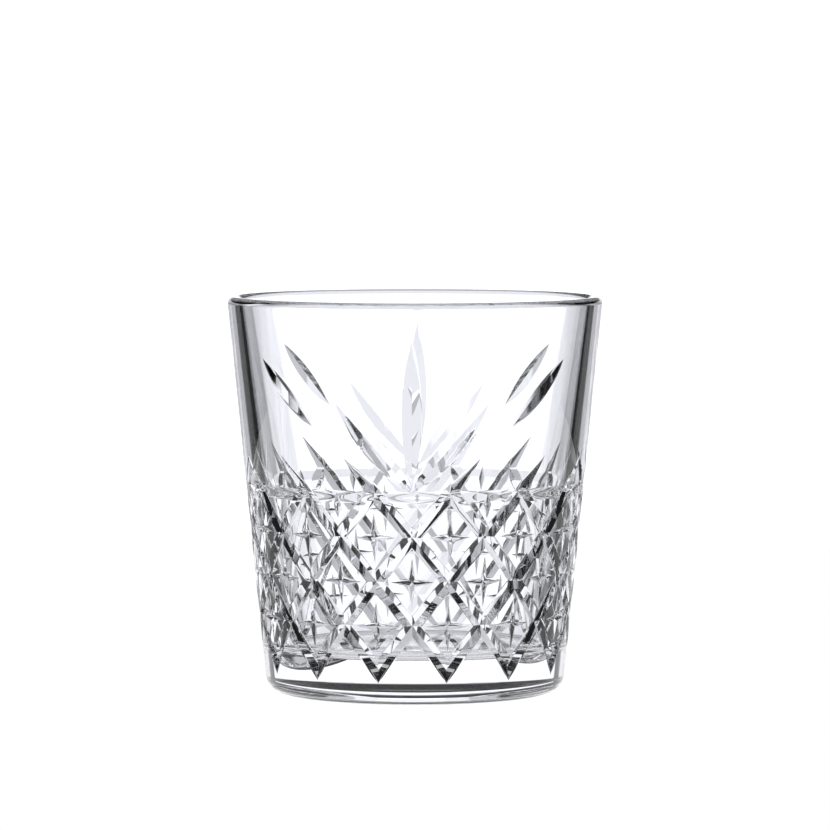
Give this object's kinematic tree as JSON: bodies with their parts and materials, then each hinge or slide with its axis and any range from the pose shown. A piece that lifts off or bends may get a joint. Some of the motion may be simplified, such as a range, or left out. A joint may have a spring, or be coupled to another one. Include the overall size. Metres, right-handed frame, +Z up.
{
  "type": "whiskey tumbler",
  "caption": "Heavy clear glass tumbler with a flared wall, a thick floor, a cut diamond lattice with stars, and fans of cut leaves under the lip.",
  "frame": {"origin": "centre of the ring that the glass stands on, on the table's surface", "axes": "+Z up along the glass's axis, -Y towards the middle of the front fan of leaves"},
  "size_m": [0.089, 0.089, 0.094],
  "materials": {
    "glass": "clear, fire-polished, with polished cuts"
  },
  "bodies": {
    "root": {"tumbler": "glass"}
  },
  "joints": []
}
